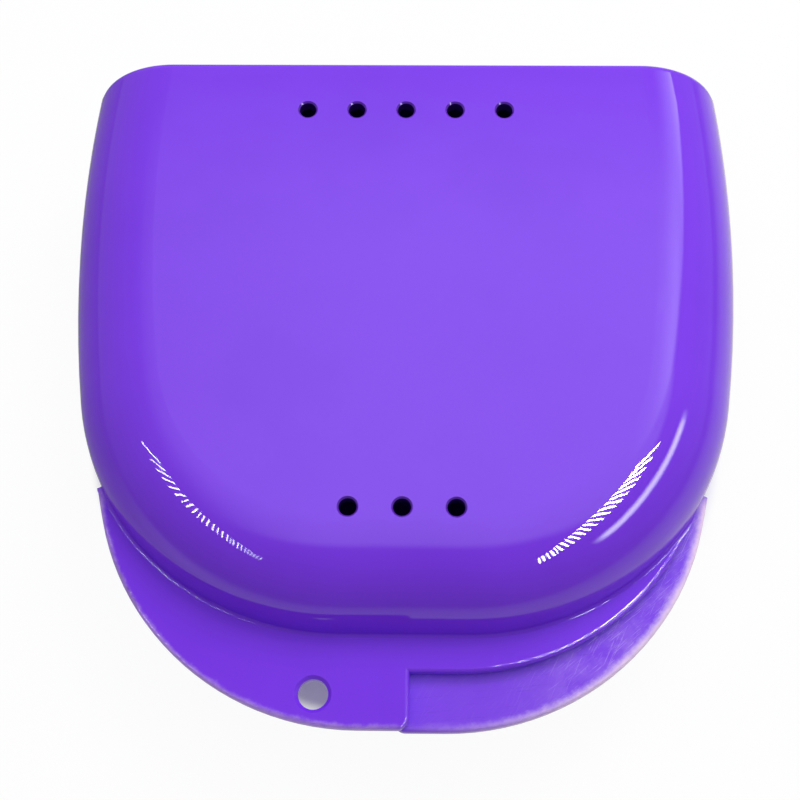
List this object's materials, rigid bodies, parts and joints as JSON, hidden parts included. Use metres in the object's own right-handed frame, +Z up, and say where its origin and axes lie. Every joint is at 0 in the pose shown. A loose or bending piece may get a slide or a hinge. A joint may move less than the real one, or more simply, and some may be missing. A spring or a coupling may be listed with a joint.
{
  "type": "orthodontic retainer case",
  "caption": "Glossy purple hinged retainer case: domed D-shaped lid with vent holes over a flat-floored base, opened by offset thumb tabs; a lanyard hole in the lid's tab.",
  "frame": {"origin": "on the floor that the case stands on, below the middle of its box with the lid closed", "axes": "+Z up, +Y towards the hinge at the back, -Y towards the thumb tabs, +X to the right seen from the tabs"},
  "size_m": [0.0814, 0.0856, 0.0261],
  "materials": {
    "shell_plastic": "glossy injection-moulded purple plastic, lightly scuffed on the tabs",
    "pin_steel": "drawn steel pin"
  },
  "bodies": {
    "base": {"base_shell": "shell_plastic", "hinge_pin_left": "pin_steel", "hinge_pin_right": "pin_steel"},
    "lid": {"lid_shell": "shell_plastic"}
  },
  "joints": [
    {"name": "lid_hinge", "type": "hinge", "parent": "base", "child": "lid", "pos_m": [0, 0.04025, 0.014], "axis": [-1, 0, 0], "range_deg": [0, 180]}
  ]
}
